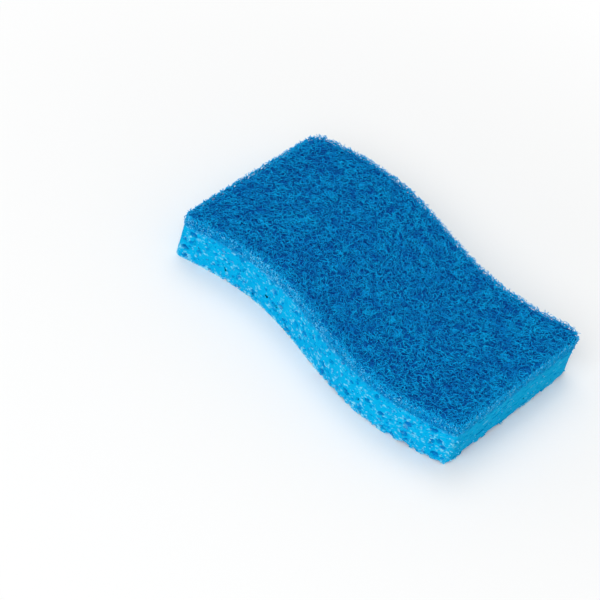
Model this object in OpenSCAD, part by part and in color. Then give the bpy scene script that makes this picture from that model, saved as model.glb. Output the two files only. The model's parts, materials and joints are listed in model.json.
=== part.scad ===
// Kitchen scrub sponge: a block of cellulose foam with a non-woven scouring
// pad glued over its top. Both are cut to one outline, whose long edges swing
// in and out like a wave, so that the sponge sits well in a hand.
//
// The sponge lies on its cellulose face. The origin is in the middle of that
// face, X runs along the sponge and Z points up, out of the pad.

/* [Outline] */
// Length of the sponge, from end to end
sponge_l = 112; // [80:1:160]
// Width of the sponge, measured straight across
sponge_w = 66; // [45:1:95]
// How far the wave carries the long edges to each side of straight
wave_depth = 5.3; // [0:0.1:9]
// Radius of the four corners, seen from above
corner_r = 2; // [1.5:0.5:9]

/* [Cellulose block] */
// Thickness of the cellulose block
block_h = 13; // [10:0.5:25]
// Half the width of the largest pores
pore_max = 2.5; // [1.4:0.1:3]
// Half the width of the smallest pores
pore_min = 0.9; // [0.6:0.1:1.3]
// Height of a pore in the long sides as a share of its width
pore_flatness = 0.56; // [0.4:0.01:0.9]
// The same share in the two ends, where the pores are drawn out into slits
slit_flatness = 0.2; // [0.15:0.01:0.9]
// How far a pore may lean to one side, in degrees
pore_lean = 16; // [0:1:40]
// Distance between neighbouring pores along the long sides
side_pitch = 4; // [3.2:0.1:9]
// Distance between neighbouring slits along the ends
end_pitch = 5.2; // [4:0.1:9]
// Height from one row of pores to the next in the cut sides and ends
row_pitch = 3.2; // [2.4:0.1:5]
// Distance between neighbouring pores in the underside
base_pitch = 6.6; // [5:0.1:12]

/* [Scouring pad] */
// Thickness of the scouring pad
pad_h = 4.5; // [3:0.1:9]
// Radius of the soft upper edge of the pad
pad_edge_r = 1.8; // [0.5:0.1:2.4]
// Depth of the hollows between the strands of the web
web_depth = 0.7; // [0:0.05:1]
// Distance between neighbouring strands that run side by side
web_pitch = 6.2; // [4:0.1:12]

/* [Hidden] */

cellulose_blue = [0.07, 0.68, 0.88];
pad_blue = [0.02, 0.41, 0.68];

// Points of the outlines: this many on each corner, and one every few
// millimetres along the edges of the block and of the pad
corner_steps = 5;
block_step = 4;
pad_step = 2;

// Solid cellulose left between the highest pores and the glued face
glue_margin = 0.8;

// How far a pore strays from its place, as a share of the pitch or its size
stray = 0.4;

// Slope of the wave where it is steepest. Every pore in a wall has its centre
// past the wall by this share of its half width, so a pore only narrows
// inwards, and no two of them cut a crumb loose between them.
steepest = 2 * PI * wave_depth / sponge_l;

// Pores keep this far from the ends of their wall, clear of the next wall's
corner_free = (2 - steepest) * pore_max;

// Y of the wave's middle line at x, which both long edges follow
function wave(x) = -wave_depth * sin(360 * x / sponge_l);

// Half the width of the sponge at x, which falls along a quarter circle in
// the corners
function half_width(x) =
    let (past = max(0, abs(x) - sponge_l / 2 + corner_r))
    sponge_w / 2 - corner_r + sqrt(max(0, corner_r * corner_r - past * past));

// How deep inside the outline a point lies, with the wave taken out of y
function inset(x, y) =
    let (past = [abs(x) - sponge_l / 2 + corner_r, abs(y) - sponge_w / 2 + corner_r])
    corner_r - norm([max(0, past.x), max(0, past.y)]) - min(0, max(past.x, past.y));

// Places across a span of twice half_span: crowded over the corners at both
// ends, and at most step apart between them
function stations(half_span, step) =
    let (
        flat = half_span - corner_r,
        count = ceil(2 * flat / step),
        bend = [for (i = [0 : corner_steps - 1]) flat + corner_r * cos(90 * i / corner_steps)]
    )
    concat(
        [for (b = bend) -b],
        [for (i = [0 : count]) flat * (2 * i / count - 1)],
        [for (i = [corner_steps - 1 : -1 : 0]) bend[i]]
    );

module outline(step) {
    xs = stations(sponge_l / 2, step);
    near_edge = [for (x = xs) [x, wave(x) - half_width(x)]];
    far_edge = [for (x = xs) [-x, wave(-x) + half_width(x)]];
    polygon(concat(near_edge, far_edge));
}

// Half the width of a pore for a random number from -1 to 1: many are small
// and a few are large
function pore_size(chance) = pore_min + (pore_max - pore_min) * pow(chance, 2);

// One pore: a bubble that the setting foam has flattened into a lens, with
// half_l as half its width. It is what two equal balls have in common.
module pore(half_l, flatness) {
    half_h = half_l * flatness;
    ball_r = (half_l * half_l + half_h * half_h) / (2 * half_h);
    intersection() {
        translate([0, 0, half_h - ball_r]) sphere(ball_r, $fn = 24);
        translate([0, 0, ball_r - half_h]) sphere(ball_r, $fn = 24);
    }
}

// The pores that one upright cut has opened, in a wall along the X axis that
// follows the wave if bent is 1 and faces along Y if out is 1, or back if it
// is -1. The lowest row breaks out through the lower edge and leaves it ragged.
module wall_pores(wall_l, pitch, flatness, bent, out, seed) {
    length = wall_l - 2 * corner_free;
    columns = floor(length / pitch);
    rows = round(block_h / row_pitch);
    chance = rands(-1, 1, 5 * columns * rows, seed);
    for (i = [0 : columns - 1], j = [0 : rows - 1]) {
        k = 5 * (i * rows + j);
        half_l = pore_size(chance[k]);
        x = ((i + 0.5 + stray * chance[k + 1]) / columns - 0.5) * length;
        past = half_l * (steepest + stray / 2 * abs(chance[k + 2]));
        highest = block_h - glue_margin - half_l;
        z = highest * min(1, max(0, j + stray * chance[k + 3]) / (rows - 1));
        translate([x, bent * wave(x) + out * past, z])
            rotate([0, pore_lean * chance[k + 4], 0])
                pore(half_l, flatness);
    }
}

// The near long side is at -1 and the far one at 1
module long_side_pores(side) {
    translate([0, side * sponge_w / 2, 0])
        wall_pores(sponge_l, side_pitch, pore_flatness, 1, side, 40 + side);
}

// The left end is at -1 and the right one at 1
module end_pores(side) {
    translate([side * sponge_l / 2, 0, 0])
        rotate([0, 0, 90])
            wall_pores(sponge_w, end_pitch, slit_flatness, 0, -side, 50 + side);
}

// The pores that the level cut has opened in the underside, clear of those in
// the walls. Their centres lie below it.
module base_pores() {
    free = [sponge_l, sponge_w] - 4 * [1, 1] * pore_max;
    columns = floor(free.x / base_pitch);
    rows = floor(free.y / base_pitch);
    chance = rands(-1, 1, 4 * columns * rows, 60);
    for (i = [0 : columns - 1], j = [0 : rows - 1]) {
        k = 4 * (i * rows + j);
        half_l = pore_size(chance[k]);
        x = ((i + 0.5 + stray * chance[k + 1]) / columns - 0.5) * free.x;
        y = ((j + 0.5 + stray * chance[k + 2]) / rows - 0.5) * free.y;
        below = stray * half_l * pore_flatness * abs(chance[k + 3]);
        translate([x, wave(x) + y, -below]) pore(half_l, pore_flatness);
    }
}

module cellulose_block() {
    color(cellulose_blue)
    difference() {
        linear_extrude(block_h) outline(block_step);
        long_side_pores(-1);
        long_side_pores(1);
        end_pores(-1);
        end_pores(1);
        base_pores();
    }
}

// One family of strands that run side by side and sway as they go, turned
// about Z by turn. It is 1 along the middle of a strand and 0 between two.
function strands(x, y, turn, pitch) =
    let (
        along = x * cos(turn) + y * sin(turn),
        across = y * cos(turn) - x * sin(turn),
        sway = 0.4 * pitch * sin(360 * along / (3.1 * pitch))
    )
    1 - abs(sin(180 * (across + sway) / pitch));

// Height of the web at a point, from 0 in a hollow to 1 on a strand. Three
// families of strands cross each other.
function web(x, y) = max(
    strands(x, y, 12, web_pitch),
    strands(x, y, 77, web_pitch * 1.13),
    strands(x, y, 134, web_pitch * 0.92)
);

// Height of the pad at a point, with the wave taken out of y
function pad_top(x, y) =
    let (past = max(0, pad_edge_r - inset(x, y)))
    pad_h - pad_edge_r + sqrt(max(0, pad_edge_r * pad_edge_r - past * past))
        - web_depth * (1 - web(x, y));

module scouring_pad() {
    xs = stations(sponge_l / 2, pad_step);
    ys = stations(sponge_w / 2, pad_step);
    last_x = len(xs) - 1;
    last_y = len(ys) - 1;

    // The top is a grid of points, one column of it for each place along X
    top = [for (x = xs, v = ys)
        let (y = v * half_width(x) / (sponge_w / 2))
        [x, wave(x) + y, pad_top(x, y)]];

    // The glued face needs points below the two long edges only
    near_base = [for (x = xs) [x, wave(x) - half_width(x), 0]];
    far_base = [for (x = xs) [x, wave(x) + half_width(x), 0]];
    first_near = len(top);
    first_far = first_near + last_x + 1;

    color(pad_blue)
    translate([0, 0, block_h])
    polyhedron(
        points = concat(top, near_base, far_base),
        faces = concat(
            [for (i = [0 : last_x - 1], j = [0 : last_y - 1], half = [0, 1])
                let (a = i * (last_y + 1) + j, b = a + last_y + 1)
                half == 0 ? [a, a + 1, b + 1] : [a, b + 1, b]],
            [for (i = [0 : last_x - 1], side = [0 : 2])
                let (
                    near_top = i * (last_y + 1),
                    far_top = near_top + last_y,
                    near = first_near + i,
                    far = first_far + i
                )
                side == 0 ? [near_top, near_top + last_y + 1, near + 1, near]
                : side == 1 ? [far_top + last_y + 1, far_top, far, far + 1]
                : [near, near + 1, far + 1, far]],
            [concat([for (j = [last_y : -1 : 0]) j], [first_near, first_far])],
            [concat(
                [for (j = [0 : last_y]) last_x * (last_y + 1) + j],
                [first_far + last_x, first_near + last_x]
            )]
        )
    );
}

cellulose_block();
scouring_pad();
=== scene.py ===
# A wavy kitchen scrub sponge: a block of blue cellulose foam with a darker
# matted scouring pad glued over its top. It lies on its foam side.
import json
import math

import bpy
import numpy as np
from mathutils import Matrix, Vector

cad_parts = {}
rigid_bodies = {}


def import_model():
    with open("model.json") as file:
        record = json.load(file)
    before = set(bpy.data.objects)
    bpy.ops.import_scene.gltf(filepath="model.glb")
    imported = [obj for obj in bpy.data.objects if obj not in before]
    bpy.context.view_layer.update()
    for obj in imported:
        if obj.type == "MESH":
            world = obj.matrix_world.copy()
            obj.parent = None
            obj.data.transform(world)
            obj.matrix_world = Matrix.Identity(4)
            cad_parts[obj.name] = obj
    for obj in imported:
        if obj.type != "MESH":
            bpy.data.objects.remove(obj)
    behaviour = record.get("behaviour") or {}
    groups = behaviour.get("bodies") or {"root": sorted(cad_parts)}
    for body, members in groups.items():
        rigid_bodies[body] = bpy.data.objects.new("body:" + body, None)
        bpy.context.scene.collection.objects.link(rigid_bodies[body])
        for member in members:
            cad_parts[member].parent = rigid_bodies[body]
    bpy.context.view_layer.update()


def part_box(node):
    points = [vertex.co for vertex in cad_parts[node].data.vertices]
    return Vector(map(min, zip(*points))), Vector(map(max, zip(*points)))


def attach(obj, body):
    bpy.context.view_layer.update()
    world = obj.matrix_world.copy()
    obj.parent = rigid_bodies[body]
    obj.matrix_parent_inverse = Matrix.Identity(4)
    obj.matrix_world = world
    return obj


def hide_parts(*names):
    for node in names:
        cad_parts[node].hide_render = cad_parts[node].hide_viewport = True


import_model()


# Cellulose block. The real one is viscose cooked with crystals of salt, which
# wash out and leave the pores, then sliced and dried. The slab and the pad on
# its back are stamped out together with a wavy knife.
mm = 0.001
wave_depth = 5.3 * mm
corners = ((1, 1, 5.5 * mm), (-1, 1, 4.5 * mm), (-1, -1, 3 * mm), (1, -1, 2 * mm))
corner_segments = 6
cell = 1.6 * mm
block_low, block_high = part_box("cellulose_block")
sponge_length = block_high.x - block_low.x
sponge_width = block_high.y - block_low.y - 2 * wave_depth
half_span = np.array([sponge_length, sponge_width]) / 2
block_height = block_high.z - block_low.z


def wave(x):
    """How far the knife's wave carries the long sides along Y at x."""
    return -wave_depth * np.sin(2 * np.pi * np.asarray(x) / sponge_length)


def inset(x, y):
    """How deep a point lies inside the outline, before the wave bends it."""
    radius = np.zeros(np.shape(x))
    for sx, sy, corner_radius in corners:
        radius[(np.asarray(x) * sx >= 0) & (np.asarray(y) * sy >= 0)] = corner_radius
    past_x = np.abs(x) - half_span[0] + radius
    past_y = np.abs(y) - half_span[1] + radius
    outside = np.hypot(np.maximum(past_x, 0), np.maximum(past_y, 0))
    return radius - outside - np.minimum(np.maximum(past_x, past_y), 0)


def deselect_all():
    """Leaves nothing selected, the CAD nodes included."""
    for thing in bpy.data.objects:
        thing.select_set(False)


def stamped_slab(name, low, high, size):
    """A slab with the sponge's outline, divided into cells of about size."""
    deselect_all()
    bpy.ops.mesh.primitive_cube_add(size=1, location=(0, 0, (low + high) / 2))
    slab = bpy.context.object
    slab.name = name
    slab.scale = (sponge_length, sponge_width, high - low)
    bpy.ops.object.transform_apply(location=True, rotation=True, scale=True)

    # Round the four upright edges. The corners at the back are worn rounder.
    touching = size / 100
    for sx, sy, corner_radius in corners:
        bpy.ops.object.mode_set(mode="EDIT")
        bpy.ops.mesh.select_mode(type="EDGE")
        bpy.ops.mesh.select_all(action="DESELECT")
        bpy.ops.object.mode_set(mode="OBJECT")
        corner = Vector((sx * half_span[0], sy * half_span[1]))
        for edge in slab.data.edges:
            ends = [slab.data.vertices[v].co for v in edge.vertices]
            edge.select = all((end.xy - corner).length < touching for end in ends)
        bpy.ops.object.mode_set(mode="EDIT")
        bpy.ops.mesh.bevel(offset=corner_radius, segments=corner_segments)

    # Cut it into cells across each direction
    spans = ((sponge_length, 0), (sponge_width, 0), (high - low, (low + high) / 2))
    for axis, (span, middle) in enumerate(spans):
        cuts = math.ceil(span / size)
        normal = [0, 0, 0]
        normal[axis] = 1
        for i in range(1, cuts):
            point = [0, 0, 0]
            point[axis] = middle + span * (i / cuts - 0.5)
            bpy.ops.mesh.select_all(action="SELECT")
            bpy.ops.mesh.bisect(plane_co=point, plane_no=normal)
    bpy.ops.object.mode_set(mode="OBJECT")
    return slab


def points_of(mesh):
    """The mesh's points as an array with a row for each."""
    flat = np.empty(3 * len(mesh.vertices))
    mesh.vertices.foreach_get("co", flat)
    return flat.reshape(-1, 3)


def move_points(mesh, points):
    """Puts the mesh's points where the array says."""
    mesh.vertices.foreach_set("co", points.ravel())
    mesh.update()


def roughen(piece, name, grain, strength, mid_level):
    """Moves the piece's surface in and out by a cloudy pattern of this grain."""
    clouds = bpy.data.textures.new(name, "CLOUDS")
    clouds.noise_scale = grain
    uneven = piece.modifiers.new(name, "DISPLACE")
    uneven.texture = clouds
    uneven.texture_coords = "LOCAL"
    uneven.strength = strength
    uneven.mid_level = mid_level
    bpy.context.view_layer.objects.active = piece
    bpy.ops.object.modifier_apply(modifier=uneven.name)


def note(piece, name, values):
    """Stores a number for each point of the piece, for its material to read."""
    piece.data.attributes.new(name, "FLOAT", "POINT")
    piece.data.attributes[name].data.foreach_set("value", values)


block = stamped_slab("cellulose_foam", block_low.z, block_high.z, cell)
shape = points_of(block.data)
shape[:, 1] += wave(shape[:, 0])
move_points(block.data, shape)


# Pores of the foam. Each is the print of a crystal, a bubble that lies flat.
# The upright cuts open them as ovals, the ends as thin slits, and the level
# cut as round mouths. Where they break through an edge, it is ragged.
def scatter(draw, span, sizes, gap, flatness=1.0):
    """Places for pores on a wall, none of which meet: the largest go first."""
    tries = 12
    spots = np.zeros((len(sizes), 3))
    placed = 0
    for size in np.sort(sizes)[::-1]:
        for _ in range(tries):
            spot = draw.uniform(-0.5, 0.5, 2) * span
            apart = np.hypot(
                spots[:placed, 0] - spot[0],
                (spots[:placed, 1] - spot[1]) / flatness,
            )
            if placed == 0 or np.min(apart - spots[:placed, 2]) > size + gap:
                spots[placed] = [spot[0], spot[1], size]
                placed += 1
                break
    return spots[:placed]


def bubble(segments):
    """One round pore of radius 1, as points and faces."""
    bpy.ops.mesh.primitive_ico_sphere_add(subdivisions=segments, radius=1)
    ball = bpy.context.object
    points = points_of(ball.data)
    faces = np.array([list(face.vertices) for face in ball.data.polygons])
    bpy.data.objects.remove(ball)
    return points, faces


def lumpy_balls(name, draw, centres, halves, turns, segments, lumps):
    """A piece with a lumpy ball at each centre, its half sizes and lean about Y."""
    ball, faces = bubble(segments)
    rough = 1 + draw.normal(0, lumps / 2, (len(centres), len(ball), 1))
    balls = ball * np.clip(rough, 1 - lumps, 1 + lumps) * halves[:, None, :]
    cosine, sine = np.cos(turns)[:, None], np.sin(turns)[:, None]
    leaned = balls.copy()
    leaned[:, :, 0] = cosine * balls[:, :, 0] + sine * balls[:, :, 2]
    leaned[:, :, 2] = cosine * balls[:, :, 2] - sine * balls[:, :, 0]
    leaned += centres[:, None, :]
    first = np.arange(len(centres))[:, None, None] * len(ball)
    mesh = bpy.data.meshes.new(name)
    mesh.from_pydata(leaned.reshape(-1, 3).tolist(), [], (faces + first).reshape(-1, 3).tolist())
    piece = bpy.data.objects.new(name, mesh)
    bpy.context.scene.collection.objects.link(piece)
    return piece


def carve(draw, centres, halves, turns, segments=2, lumps=0.3):
    """Cuts a pore out of the block at each centre."""
    cutter = lumpy_balls("pores", draw, centres, halves, turns, segments, lumps)
    cut = block.modifiers.new("pores", "BOOLEAN")
    cut.operation = "DIFFERENCE"
    cut.solver = "MANIFOLD"
    cut.object = cutter
    bpy.context.view_layer.objects.active = block
    bpy.ops.object.modifier_apply(modifier=cut.name)
    bpy.data.objects.remove(cutter)


def pore_sizes(draw, count, smallest, largest, bias):
    """Half widths for pores, of which most are small."""
    return smallest + (largest - smallest) * draw.random(count) ** bias


# Each row gives how many pores, their smallest and largest half width, how far
# the small ones outnumber the large ones, and how finely each is rounded
side_pores = (
    (66, 0.8 * mm, 1.6 * mm, 1.3, 2),
    (240, 0.36 * mm, 0.8 * mm, 1.3, 2),
    (600, 0.2 * mm, 0.36 * mm, 1.2, 1),
)
end_slits = (
    (70, 0.8 * mm, 2.6 * mm, 1.3, 2),
    (240, 0.25 * mm, 0.8 * mm, 1.2, 1),
)
base_mouths = (
    (90, 1.3 * mm, 2.4 * mm, 1.6, 2),
    (460, 0.5 * mm, 1.2 * mm, 1.5, 1),
    (700, 0.25 * mm, 0.5 * mm, 1.2, 1),
)
pore_gap = 0.1 * mm
base_gap = 0.12 * mm

# What each wall keeps free of pores, across and up
side_margin = np.array([1 * mm, 0.6 * mm])
end_margin = np.array([2 * mm, 1 * mm])
base_margin = 1.5 * mm

side_flatness = 0.6
slit_flatness = 0.3
slit_depth = 0.4
nearer_base = 0.3 * mm

draw = np.random.default_rng(7)
for side in (-1, 1):
    for count, smallest, largest, bias, segments in side_pores:
        sizes = pore_sizes(draw, count, smallest, largest, bias)
        wall = np.array([sponge_length, block_height]) - side_margin
        spots = scatter(draw, wall, sizes, pore_gap, side_flatness)
        along, size = spots[:, 0], spots[:, 2]
        past = draw.uniform(-0.1, 0.5, len(spots)) * size
        centres = np.column_stack([
            along,
            wave(along) + side * (half_span[1] + past),
            block_height / 2 + spots[:, 1] - nearer_base,
        ])
        shares = np.column_stack([
            np.ones(len(spots)),
            draw.uniform(0.8, 1.1, len(spots)),
            draw.uniform(0.5, 0.8, len(spots)),
        ])
        leans = draw.normal(0, 0.25, len(spots))
        carve(draw, centres, size[:, None] * shares, leans, segments)

for side in (-1, 1):
    for count, smallest, largest, bias, segments in end_slits:
        sizes = pore_sizes(draw, count, smallest, largest, bias)
        wall = np.array([sponge_width, block_height]) - end_margin
        spots = scatter(draw, wall, sizes, pore_gap, slit_flatness)
        size = spots[:, 2]
        centres = np.column_stack([
            side * (half_span[0] + draw.uniform(0.05, 0.3, len(spots)) * size * slit_depth),
            spots[:, 0],
            block_height / 2 + spots[:, 1],
        ])
        shares = np.column_stack([
            slit_depth * np.ones(len(spots)),
            np.ones(len(spots)),
            draw.uniform(0.08, 0.16, len(spots)),
        ])
        leans = draw.normal(0, 0.05, len(spots))
        carve(draw, centres, size[:, None] * shares, leans, segments)

for count, smallest, largest, bias, segments in base_mouths:
    sizes = pore_sizes(draw, count, smallest, largest, bias)
    spots = scatter(draw, 2 * half_span - base_margin, sizes, base_gap)
    size = spots[:, 2]
    centres = np.column_stack([
        spots[:, 0],
        spots[:, 1] + wave(spots[:, 0]),
        draw.uniform(-0.4, 0.1, len(spots)) * size * 0.55,
    ])
    shares = np.column_stack([
        np.ones(len(spots)),
        draw.uniform(0.7, 1.0, len(spots)),
        draw.uniform(0.5, 0.65, len(spots)),
    ])
    leans = draw.normal(0, 0.1, len(spots))
    carve(draw, centres, size[:, None] * shares, leans, segments)


# The torn lower edge. The knife tears the last of the foam instead of cutting
# it, most of all towards the corners at the right end.
def rim_walk(count):
    """Points and outward directions along the outline, evenly spaced."""
    arc_points = 10
    arcs = []
    for quarter, (sx, sy, corner_radius) in enumerate(corners):
        angles = np.radians(np.linspace(0, 90, arc_points) + 90 * quarter)
        middle = (half_span - corner_radius) * (sx, sy)
        arc = np.column_stack([np.cos(angles), np.sin(angles)])
        arcs.append(np.column_stack([middle + corner_radius * arc, arc]))
    arcs.append(arcs[0][:1])
    ring = np.vstack(arcs)
    steps = np.hypot(*np.diff(ring[:, :2], axis=0).T)
    reached = np.concatenate([[0], np.cumsum(steps)])
    wanted = np.linspace(0, reached[-1], count, endpoint=False)
    rim = np.column_stack([np.interp(wanted, reached, ring[:, k]) for k in range(4)])
    rim[:, 1] += wave(rim[:, 0])
    return rim


# Each row gives how many bites, their smallest and largest half width, and how
# far they are drawn out along the edge. Left of tear_start they are smallest.
torn_bites = (
    (200, 0.25 * mm, 0.9 * mm, 1),
    (90, 0.7 * mm, 2.1 * mm, 1),
    (28, 0.9 * mm, 1.9 * mm, 1.8),
)
tear_start = -15 * mm
tear_run = 35 * mm
least_torn = 0.3
for bites, smallest, largest, drawn_out in torn_bites:
    rim = rim_walk(bites)
    torn = np.clip((rim[:, 0] - tear_start) / tear_run, least_torn, 1)
    size = pore_sizes(draw, bites, smallest, largest, 1.2) * torn
    along_end = np.abs(rim[:, 2]) > 0.7
    centres = np.column_stack([
        rim[:, 0] + rim[:, 2] * draw.uniform(-0.3, 0.6, bites) * size,
        rim[:, 1] + rim[:, 3] * draw.uniform(-0.3, 0.6, bites) * size,
        draw.uniform(-0.4, 0.2, bites) * size,
    ])
    shares = np.column_stack([
        draw.uniform(0.8, 1.4, bites) * np.where(along_end, 1, drawn_out),
        draw.uniform(0.8, 1.4, bites) * np.where(along_end, drawn_out, 1),
        draw.uniform(0.5, 0.9, bites),
    ])
    leans = draw.normal(0, 0.3 / drawn_out, bites)
    carve(draw, centres, size[:, None] * shares, leans, lumps=0.4)

# A little unevenness all over, as foam dries
roughen(block, "drying", grain=1.8 * mm, strength=0.5 * mm, mid_level=0.55)
shape = points_of(block.data)
shape[:, 2] = np.clip(shape[:, 2], block_low.z, block_high.z)
move_points(block.data, shape)
block.select_set(True)
bpy.ops.object.shade_smooth_by_angle(angle=math.radians(40))


def mark_walls(piece):
    """Notes how deep each point lies under the cut surfaces or how far it stands
    proud of them, and how near it is to an edge between two, in millimetres."""
    at = points_of(piece.data)
    flat_y = at[:, 1] - wave(at[:, 0])
    from_end = half_span[0] - np.abs(at[:, 0])
    from_side = half_span[1] - np.abs(flat_y)
    from_base = at[:, 2] - block_low.z
    depth = np.minimum(inset(at[:, 0], flat_y), from_base) / mm
    walls = np.sort(np.column_stack([from_end, from_side, from_base]) / mm, axis=1)
    note(piece, "pore_depth", np.maximum(depth, 0))
    note(piece, "proud", np.maximum(-depth, 0))
    note(piece, "edge_reach", np.maximum(walls[:, 1], 0))
    note(piece, "end_cut", (from_end < from_side).astype(float))


mark_walls(block)


# Cellulose: regenerated viscose dyed through, dry and matt. Thin walls between
# pores let light through and look pale, and the pores are painted darker, as the shade that falls
# inside them.
def linear(code):
    """The linear colour of an sRGB hex code."""
    parts = [int(code[i:i + 2], 16) / 255 for i in (1, 3, 5)]
    return [c / 12.92 if c <= 0.04045 else ((c + 0.055) / 1.055) ** 2.4 for c in parts] + [1]


def add(tree, kind, inputs, **settings):
    """Adds a node with its settings, and links or fills its inputs."""
    made = tree.nodes.new(kind)
    for name, value in settings.items():
        setattr(made, name, value)
    for socket, value in inputs.items():
        if isinstance(value, bpy.types.NodeSocket):
            tree.links.new(value, made.inputs[socket])
        else:
            made.inputs[socket].default_value = value
    return made


def start_material(name):
    """A new material, its tree and shader, and the place on the object."""
    material = bpy.data.materials.new(name)
    material.use_nodes = True
    tree = material.node_tree
    place = add(tree, "ShaderNodeTexCoord", {}).outputs["Object"]
    return material, tree, tree.nodes["Principled BSDF"], place


def set_gloss(shader, roughness, ior, specular):
    """Sets how a surface shines, the same all over."""
    shader.inputs["Roughness"].default_value = roughness
    shader.inputs["IOR"].default_value = ior
    shader.inputs["Specular IOR Level"].default_value = specular


cellulose, tree, shader, place = start_material("cellulose foam, dyed through")

# Broad unevenness of the dye, then short pale flecks of torn cell walls, which
# are drawn out along the sides and more so along the ends
mottle = add(tree, "ShaderNodeTexNoise", {
    "Vector": place, "Scale": 1 / (4 * mm), "Detail": 3, "Roughness": 0.6})
skin = add(tree, "ShaderNodeMix", {
    "Factor": mottle.outputs["Fac"], "A": linear("#00A2DE"), "B": linear("#00BEF0")},
    data_type="RGBA")
flecks = []
for lengths in ((1.0 * mm, 0.8 * mm, 0.7 * mm), (0.6 * mm, 2.6 * mm, 0.36 * mm)):
    stretched = add(tree, "ShaderNodeMapping", {
        "Vector": place, "Scale": [1 / length for length in lengths]})
    flecks.append(add(tree, "ShaderNodeTexNoise", {
        "Vector": stretched.outputs["Vector"], "Scale": 1, "Detail": 2, "Roughness": 0.5}))
at_end = add(tree, "ShaderNodeAttribute", {}, attribute_name="end_cut")
faint = add(tree, "ShaderNodeMath", {
    0: flecks[1].outputs["Fac"], 1: 0.09}, operation="SUBTRACT")
fleck = add(tree, "ShaderNodeMix", {
    "Factor": at_end.outputs["Fac"],
    "A": flecks[0].outputs["Fac"], "B": faint.outputs["Value"]})

# The edges are paler, and so are thin patches and crumbs that stand proud
reach = add(tree, "ShaderNodeAttribute", {}, attribute_name="edge_reach")
edge_paling = add(tree, "ShaderNodeMapRange", {
    "Value": reach.outputs["Fac"], "From Min": 0.4, "From Max": 1.5, "To Min": 0.2, "To Max": 0})
blotch = add(tree, "ShaderNodeTexNoise", {
    "Vector": place, "Scale": 1 / (2.2 * mm), "Detail": 2, "Roughness": 0.5})
thin = add(tree, "ShaderNodeMapRange", {
    "Value": blotch.outputs["Fac"], "From Min": 0.45, "From Max": 0.7, "To Max": 0.22})
proud = add(tree, "ShaderNodeAttribute", {}, attribute_name="proud")
crumb = add(tree, "ShaderNodeMapRange", {
    "Value": proud.outputs["Fac"], "From Min": 0.08, "From Max": 0.26, "To Max": 0.26})
edge_and_crumb_paling = add(tree, "ShaderNodeMath", {0: crumb.outputs["Result"], 1: edge_paling.outputs["Result"]})
raised = add(tree, "ShaderNodeMath", {0: fleck.outputs["Result"], 1: edge_and_crumb_paling.outputs["Value"]})
lifted = add(tree, "ShaderNodeMath", {0: raised.outputs["Value"], 1: thin.outputs["Result"]})
paleness = add(tree, "ShaderNodeMapRange", {
    "Value": lifted.outputs["Value"], "From Min": 0.63, "From Max": 0.88, "To Max": 0.85})
pale = add(tree, "ShaderNodeMix", {
    "Factor": paleness.outputs["Result"], "A": skin.outputs["Result"], "B": linear("#90E2FA")},
    data_type="RGBA")

# Painted shade: the pores are darker the further in they go, over a millimetre, as less light
# reaches in
buried = add(tree, "ShaderNodeAttribute", {}, attribute_name="pore_depth")
pore_shade_share = add(tree, "ShaderNodeMapRange", {
    "Value": buried.outputs["Fac"], "From Min": 0.1, "From Max": 1.0})
hue = add(tree, "ShaderNodeMix", {
    "Factor": pore_shade_share.outputs["Result"], "A": pale.outputs["Result"], "B": linear("#048CD0")},
    data_type="RGBA")

# The resin of the pad has soaked into the top of the foam, by up to 1.6 mm
upright = add(tree, "ShaderNodeSeparateXYZ", {"Vector": place})
soak = add(tree, "ShaderNodeMapRange", {
    "Value": upright.outputs["Z"],
    "From Min": block_high.z - 1.6 * mm, "From Max": block_high.z, "To Max": 0.7})
uneven_soak = add(tree, "ShaderNodeMath", {0: soak.outputs["Result"], 1: blotch.outputs["Fac"]})
soak_share = add(tree, "ShaderNodeMapRange", {
    "Value": uneven_soak.outputs["Value"], "From Min": 0.75, "From Max": 1.1, "To Max": 0.8})
soaked = add(tree, "ShaderNodeMix", {
    "Factor": soak_share.outputs["Result"], "A": hue.outputs["Result"], "B": linear("#0A9ADC")},
    data_type="RGBA")
tree.links.new(soaked.outputs["Result"], shader.inputs["Base Color"])

# Fine cells, about 0.7 mm across, and the grain of their walls
cells = add(tree, "ShaderNodeTexVoronoi", {"Vector": place, "Scale": 1 / (0.7 * mm)})
grain = add(tree, "ShaderNodeTexNoise", {
    "Vector": place, "Scale": 1 / (0.4 * mm), "Detail": 3, "Roughness": 0.6})
height = add(tree, "ShaderNodeMath", {0: cells.outputs["Distance"], 1: grain.outputs["Fac"]})
bump = add(tree, "ShaderNodeBump", {
    "Height": height.outputs["Value"], "Strength": 0.6, "Distance": 0.15 * mm})
tree.links.new(bump.outputs["Normal"], shader.inputs["Normal"])
set_gloss(shader, roughness=0.95, ior=1.47, specular=0.06)
block.data.materials.clear()
block.data.materials.append(cellulose)
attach(block, "root")
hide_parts("cellulose_block")


# Crumbs of torn foam, which still hang on the cut by a few cell walls and stand
# a little proud. Most are low down and towards the right end.
crumb_count = 900
crumb_depth = 0.2 * mm
deepest_seat = 0.35 * mm
lowest_crumb = 0.2 * mm
crumb_rise = block_height - 1.2 * mm


def crumb_share(x, out_x):
    """How many of the crumbs tried at a place stay: few on the ends."""
    if abs(out_x) > 0.9:
        return 0.25
    return 1 if x > 0 else 0.4


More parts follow.
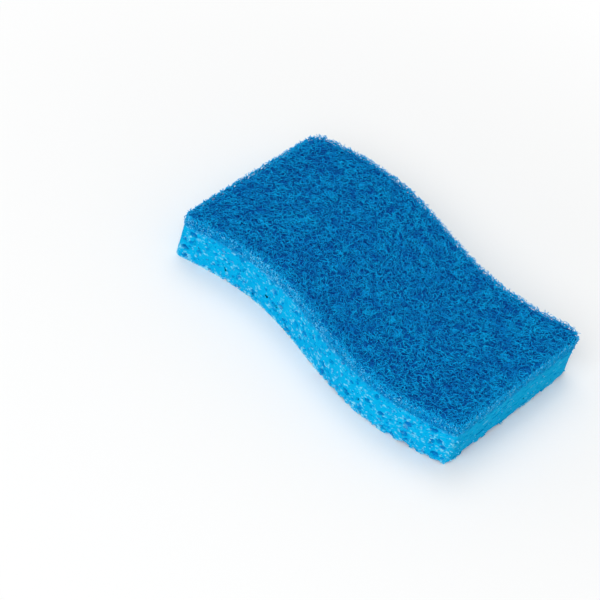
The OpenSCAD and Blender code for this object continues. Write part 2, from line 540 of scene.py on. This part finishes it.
draw = np.random.default_rng(5)
spots = []
halves = []
rim = rim_walk(6000)
while len(spots) < crumb_count:
    x, y, out_x, out_y = rim[draw.integers(len(rim))]
    if draw.random() > crumb_share(x, out_x):
        continue
    z = lowest_crumb + draw.random() ** 1.4 * crumb_rise
    wanted = Vector((x, y, z))
    spot = block.closest_point_on_mesh(wanted)[1]
    if (spot - wanted).length < deepest_seat:
        size = 0.16 * mm + 0.4 * mm * draw.random() ** 2
        spots.append(spot)
        halves.append([size * draw.uniform(1, 1.9), crumb_depth, size * draw.uniform(0.6, 1)])
leans = draw.normal(0, 0.35, len(spots))
crumbs = lumpy_balls(
    "cellulose_crumbs", draw, np.array(spots), np.array(halves), leans,
    segments=1, lumps=0.35)
shape = points_of(crumbs.data)
shape[:, 2] = np.maximum(shape[:, 2], block_low.z + 0.05 * mm)
move_points(crumbs.data, shape)
mark_walls(crumbs)
crumbs.data.materials.append(cellulose)
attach(crumbs, "root")


# Body of the scouring pad. The real one is a web of curled nylon staple, laid
# by air and bonded with resin. This is its dense heart, which shows between
# the strands on top as dark hollows.
pad_low, pad_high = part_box("scouring_pad")
edge_radius = 1.8 * mm
strand_cover = 1.0 * mm
heart_cell = 1.1 * mm


def rounded_drop(x, y):
    """How far the pad's top falls at a point near its soft upper edge."""
    past = np.clip(edge_radius - inset(x, y), 0, edge_radius)
    return edge_radius - np.sqrt(edge_radius ** 2 - past ** 2)


def mark_places(piece):
    """Notes how far each point lies under the pad's top, and from its rim."""
    at = points_of(piece.data)
    flat_y = at[:, 1] - wave(at[:, 0])
    under = (pad_high.z - rounded_drop(at[:, 0], flat_y) - at[:, 2]) / mm
    from_rim = np.clip(inset(at[:, 0], flat_y) / mm, 0, None)
    note(piece, "web_depth", under)
    note(piece, "rim_reach", from_rim)


heart_top = pad_high.z - strand_cover
heart = stamped_slab("scouring_web_heart", pad_low.z, heart_top, heart_cell)
shape = points_of(heart.data)
level = (shape[:, 2] - pad_low.z) / (heart_top - pad_low.z)
shape[:, 2] -= level * rounded_drop(shape[:, 0], shape[:, 1])
shape[:, 1] += wave(shape[:, 0])
move_points(heart.data, shape)
roughen(heart, "matting", grain=1.3 * mm, strength=0.8 * mm, mid_level=0.7)
shape = points_of(heart.data)
shape[:, 2] = np.maximum(shape[:, 2], pad_low.z)
move_points(heart.data, shape)
bpy.ops.object.shade_smooth_by_angle(angle=math.radians(60))
mark_places(heart)

# Bonded nylon: dull, and dark where the strands above keep the light out, less
# so at the cut rim
web_dark, tree, shader, place = start_material("bonded nylon web, in its own shade")
patches = add(tree, "ShaderNodeTexNoise", {
    "Vector": place, "Scale": 1 / (0.6 * mm), "Detail": 3, "Roughness": 0.6})
patch_share = add(tree, "ShaderNodeMapRange", {
    "Value": patches.outputs["Fac"], "From Min": 0.35, "From Max": 0.65})
shade = add(tree, "ShaderNodeMix", {
    "Factor": patch_share.outputs["Result"], "A": linear("#042E70"), "B": linear("#0672C2")},
    data_type="RGBA")
rim_reach = add(tree, "ShaderNodeAttribute", {}, attribute_name="rim_reach")
rim_share = add(tree, "ShaderNodeMapRange", {
    "Value": rim_reach.outputs["Fac"], "From Min": 0.3, "From Max": 3, "To Min": 1, "To Max": 0})
hue = add(tree, "ShaderNodeMix", {
    "Factor": rim_share.outputs["Result"], "A": shade.outputs["Result"], "B": linear("#0576BE")},
    data_type="RGBA")
tree.links.new(hue.outputs["Result"], shader.inputs["Base Color"])
set_gloss(shader, roughness=0.9, ior=1.53, specular=0.05)
heart.data.materials.clear()
heart.data.materials.append(web_dark)
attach(heart, "root")
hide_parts("scouring_pad")


# Strands of the web. Each is a curled nylon fibre with its coat of resin. The
# real ones are about 0.1 to 0.3 mm thick. All are drawn 0.2 mm thick, because
# the finest would not show, and they lie in three layers over the heart.
nylon, tree, shader, place = start_material("nylon fibre with blue resin")

# Strands lower in the web are painted darker, as the shade of the strands above them, and slow
# clouds darken some of the top. Towards the cut rim all are lighter.
web_depth = add(tree, "ShaderNodeAttribute", {}, attribute_name="web_depth")
lower_shade_share = add(tree, "ShaderNodeMapRange", {
    "Value": web_depth.outputs["Fac"], "From Min": 0.15, "From Max": 1.1})
strand_tone = add(tree, "ShaderNodeTexNoise", {
    "Vector": place, "Scale": 1 / (1.2 * mm), "Detail": 2, "Roughness": 0.7})
cloud = add(tree, "ShaderNodeTexNoise", {
    "Vector": place, "Scale": 1 / (8 * mm), "Detail": 3, "Roughness": 0.6})
uneven_tone = add(tree, "ShaderNodeMath", {
    0: strand_tone.outputs["Fac"], 1: cloud.outputs["Fac"]})
tone = add(tree, "ShaderNodeMapRange", {
    "Value": uneven_tone.outputs["Value"], "From Min": 0.75, "From Max": 1.25})
dyed = add(tree, "ShaderNodeMix", {
    "Factor": tone.outputs["Result"], "A": linear("#018EDC"), "B": linear("#06C2FC")},
    data_type="RGBA")
shaded = add(tree, "ShaderNodeMix", {
    "Factor": lower_shade_share.outputs["Result"], "A": dyed.outputs["Result"], "B": linear("#0262B2")},
    data_type="RGBA")
rim_reach = add(tree, "ShaderNodeAttribute", {}, attribute_name="rim_reach")
rim_share = add(tree, "ShaderNodeMapRange", {
    "Value": rim_reach.outputs["Fac"], "From Min": 0.1, "From Max": 3, "To Min": 0.8, "To Max": 0})
hue = add(tree, "ShaderNodeMix", {
    "Factor": rim_share.outputs["Result"], "A": shaded.outputs["Result"], "B": linear("#0CB6F0")},
    data_type="RGBA")
tree.links.new(hue.outputs["Result"], shader.inputs["Base Color"])
set_gloss(shader, roughness=0.6, ior=1.53, specular=0.06)


def curled_path(draw, start, heading, length, step, curl):
    """A curled line in the plane, as a fibre lies in the web."""
    points = max(3, int(length / step))
    bend = draw.normal(0, curl / 2) + draw.normal(0, curl, points)
    headings = heading + np.cumsum(bend * step)
    moves = step * np.column_stack([np.cos(headings), np.sin(headings)])
    return np.vstack([[start], start + np.cumsum(moves, axis=0)])


def fibres(name, paths, thickness, material):
    """One piece that holds a fibre along each path."""
    curve = bpy.data.curves.new(name, "CURVE")
    curve.dimensions = "3D"
    curve.bevel_depth = thickness / 2
    curve.bevel_resolution = 0
    curve.use_fill_caps = True
    for path in paths:
        spline = curve.splines.new("POLY")
        spline.points.add(len(path) - 1)
        spline.points.foreach_set("co", np.column_stack([path, np.ones(len(path))]).ravel())
    piece = bpy.data.objects.new(name, curve)
    bpy.context.scene.collection.objects.link(piece)
    deselect_all()
    piece.select_set(True)
    bpy.context.view_layer.objects.active = piece
    bpy.ops.object.convert(target="MESH")
    piece = bpy.context.object
    piece.data.materials.clear()
    piece.data.materials.append(material)
    bpy.ops.object.shade_smooth()
    mark_places(piece)
    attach(piece, "root")


strand = 0.2 * mm
strand_step = 0.5 * mm
strand_curl = 1500
strand_ripple = 0.26 * mm
strand_margin = 0.05 * mm
layer_count = 3150


def web_layer(draw, least, most):
    """Paths for fibres that lie this deep below the level of the pad's top."""
    paths = []
    while len(paths) < layer_count:
        start = draw.uniform(-1, 1, 2) * (half_span - 0.3 * mm)
        if inset(*start) < 0.25 * mm:
            continue
        heading = draw.uniform(0, 2 * np.pi)
        length = draw.uniform(2, 5) * mm
        line = curled_path(draw, start, heading, length, strand_step, strand_curl)
        inside = inset(line[:, 0], line[:, 1]) > strand_margin
        kept = len(line) if inside.all() else int(np.argmin(inside))
        if kept < 3:
            continue
        line = line[:kept]
        depth = draw.uniform(least, most)
        turns = draw.uniform(0, 6.3) + np.cumsum(draw.uniform(0.5, 1.7, kept))
        ripple = strand_ripple * np.sin(turns)
        height = pad_high.z - rounded_drop(line[:, 0], line[:, 1]) - depth + ripple
        paths.append(np.column_stack([line[:, 0], line[:, 1] + wave(line[:, 0]), height]))
    return paths


draw = np.random.default_rng(11)
fibres("web_strands_low", web_layer(draw, 0.7 * mm, 1.0 * mm), strand, nylon)
fibres("web_strands_middle", web_layer(draw, 0.45 * mm, 0.75 * mm), strand, nylon)
fibres("web_strands_top", web_layer(draw, 0.2 * mm, 0.45 * mm), strand, nylon)


# Cut rim of the pad. The knife leaves the fibres' ends open all round and drags
# a few of them down over the foam, and the torn ones bleach to a paler blue.
rim = rim_walk(9000)
rim_strand_count = 4000
rim_strand_step = 0.45 * mm
rim_strand_curl = 1300
dragged_share = 0.2
dragged_down = 0.9 * mm
fuzz_count = 1500
fray_count = 1500
fray = 0.22 * mm


def on_rim(place, z, lift):
    """A point of the cut rim at this height, and its outward direction."""
    x, y, out_x, out_y = rim[int(place) % len(rim)]
    high = np.clip(z - pad_high.z + edge_radius, 0, edge_radius)
    outward = np.array([out_x, out_y, 0])
    drop = edge_radius - np.sqrt(edge_radius ** 2 - high ** 2)
    return np.array([x, y, z]) + (lift - drop) * outward, outward


paths = []
for _ in range(rim_strand_count):
    lowest = -dragged_down if draw.random() < dragged_share else 0
    start_z = pad_low.z + draw.uniform(lowest, pad_high.z - pad_low.z - 0.5 * mm)
    start, outward = on_rim(draw.integers(len(rim)), start_z, 0)
    around = np.array([-outward[1], outward[0], 0])
    heading = draw.uniform(0, 2 * np.pi)
    length = draw.uniform(1.2, 3.2) * mm
    line = curled_path(draw, np.zeros(2), heading, length, rim_strand_step, rim_strand_curl)
    lift = 0.12 * mm * np.sin(draw.uniform(0, 6.3) + np.linspace(0, 4, len(line))) + 0.02 * mm
    path = start + line[:, :1] * around + line[:, 1:] * (0, 0, 1) + lift[:, None] * outward
    if path[:, 2].min() > pad_low.z - 1.5 * mm and path[:, 2].max() < pad_high.z - 0.1 * mm:
        paths.append(path)
fibres("web_rim_strands", paths, strand, nylon)

# Open ends that stick out of the rim at any angle
paths = []
for _ in range(fuzz_count):
    start, outward = on_rim(
        draw.integers(len(rim)), draw.uniform(pad_low.z, pad_high.z - 0.2 * mm), -0.3 * mm)
    lean = draw.normal(0, 0.6, 3) + outward + (0, 0, 0.3)
    reach = draw.uniform(0.6, 1.3) * mm * lean / np.linalg.norm(lean)
    bow = draw.normal(0, 0.12, 3) * mm
    paths.append(np.array([start, start + 0.55 * reach + bow, start + reach]))
fibres("web_rim_fuzz", paths, strand, nylon)


# Short bleached ends, in tufts, where the web is most torn: on the near side
# and at the ends
def tuft_share(x, out_y):
    """How many of the tufts tried at a place stay: hardly any on the far side."""
    if out_y > 0.5:
        return 0.06
    return 0.75 if x < 20 * mm else 0.4


ends = []
while len(ends) < fray_count:
    tuft = draw.integers(len(rim))
    if draw.random() > tuft_share(rim[tuft, 0], rim[tuft, 3]):
        continue
    for _ in range(draw.integers(2, 9)):
        start, outward = on_rim(
            tuft + draw.normal(0, 26),
            draw.uniform(pad_low.z - 0.6 * mm, pad_high.z - 1.1 * mm), 0.06 * mm)
        around = np.array([-outward[1], outward[0], 0])
        heading = draw.uniform(-1.2, 1.2)
        direction = np.sin(heading) * around + (0, 0, np.cos(heading))
        reach = draw.uniform(0.25, 0.8) * mm * direction
        bow = draw.normal(0, 0.06, 3) * mm
        ends.append(np.array([start, start + 0.5 * reach + bow, start + reach]))

# Torn nylon: whitened where it was stretched, and a little glossier
bleached, tree, shader, place = start_material("torn nylon fibre, paler")
tone = add(tree, "ShaderNodeTexNoise", {"Vector": place, "Scale": 1 / (0.9 * mm), "Detail": 2})
hue = add(tree, "ShaderNodeMix", {
    "Factor": tone.outputs["Fac"], "A": linear("#30BEF6"), "B": linear("#84E2FF")},
    data_type="RGBA")
tree.links.new(hue.outputs["Result"], shader.inputs["Base Color"])
set_gloss(shader, roughness=0.6, ior=1.53, specular=0.12)
fibres("web_rim_frays", ends, fray, bleached)


# Floor, lamps and camera. The floor is a white table that keeps the sponge's
# shadow. A large soft lamp stands before the near long side, and another above.
floor_gap = 0.02 * mm
deselect_all()
bpy.ops.mesh.primitive_plane_add(size=6, location=(0, 0, block_low.z - floor_gap))
table = bpy.context.object
table.name = "floor"
paper, tree, shader, place = start_material("white paper")
shader.inputs["Base Color"].default_value = linear("#FBFCFC")
shader.inputs["Roughness"].default_value = 0.95
shader.inputs["Specular IOR Level"].default_value = 0.1

# Away from the sponge the camera sees the paper as plain white, out to the sky
away = add(tree, "ShaderNodeVectorMath", {0: place}, operation="LENGTH")
outer = add(tree, "ShaderNodeMapRange", {
    "Value": away.outputs["Value"], "From Min": 0.06, "From Max": 0.2})
sight = add(tree, "ShaderNodeLightPath", {})
seen = add(tree, "ShaderNodeMath", {
    0: outer.outputs["Result"], 1: sight.outputs["Is Camera Ray"]}, operation="MULTIPLY")
white = add(tree, "ShaderNodeEmission", {"Color": (1, 1, 1, 1), "Strength": 1})
both = add(tree, "ShaderNodeMixShader", {
    0: seen.outputs["Value"], 1: shader.outputs["BSDF"], 2: white.outputs["Emission"]})
tree.links.new(both.outputs["Shader"], tree.nodes["Material Output"].inputs["Surface"])
table.data.materials.append(paper)

# The world lights everything softly, and is plain white to look at
world = bpy.data.worlds.new("studio")
bpy.context.scene.world = world
world.use_nodes = True
tree = world.node_tree
sky = tree.nodes["Background"]
sky.inputs["Color"].default_value = (1, 1, 1, 1)
sight = add(tree, "ShaderNodeLightPath", {})
glossy = add(tree, "ShaderNodeMath", {
    0: sight.outputs["Is Camera Ray"], 1: sight.outputs["Is Glossy Ray"]}, operation="MAXIMUM")
plain = add(tree, "ShaderNodeMath", {
    0: glossy.outputs["Value"], 1: sight.outputs["Is Transmission Ray"]}, operation="MAXIMUM")
strength = add(tree, "ShaderNodeMapRange", {
    "Value": plain.outputs["Value"], "To Min": 0.48, "To Max": 1})
tree.links.new(strength.outputs["Result"], sky.inputs["Strength"])

for name, spot, size, power in (
    ("window lamp", (0.2, -1.0, 0.9), 0.9, 9.2),
    ("top lamp", (-0.5, 0.4, 1.3), 1.0, 5.6),
):
    lamp = bpy.data.lights.new(name, "AREA")
    lamp.size = size
    lamp.energy = power
    holder = bpy.data.objects.new(name, lamp)
    holder.location = spot
    holder.rotation_mode = "QUATERNION"
    holder.rotation_quaternion = (-Vector(spot)).to_track_quat("-Z", "Y")
    bpy.context.scene.collection.objects.link(holder)

# The camera looks down on the near long side, and leans a little to one side
camera = bpy.data.objects.new("camera", bpy.data.cameras.new("camera"))
bpy.context.scene.collection.objects.link(camera)
camera.data.sensor_width = 36
camera.data.lens = 170.5
ahead = Vector((-0.3428, 0.6554, -0.6730)).normalized()
up = Vector((-0.5747, 0.4204, 0.7021))
right = ahead.cross(up).normalized()
up = right.cross(ahead)
camera.matrix_world = Matrix.Translation((0.2862, -0.5955, 0.5959)) @ Matrix(
    (right, up, -ahead)).transposed().to_4x4()
bpy.context.scene.camera = camera
bpy.context.scene.view_settings.view_transform = "Standard"
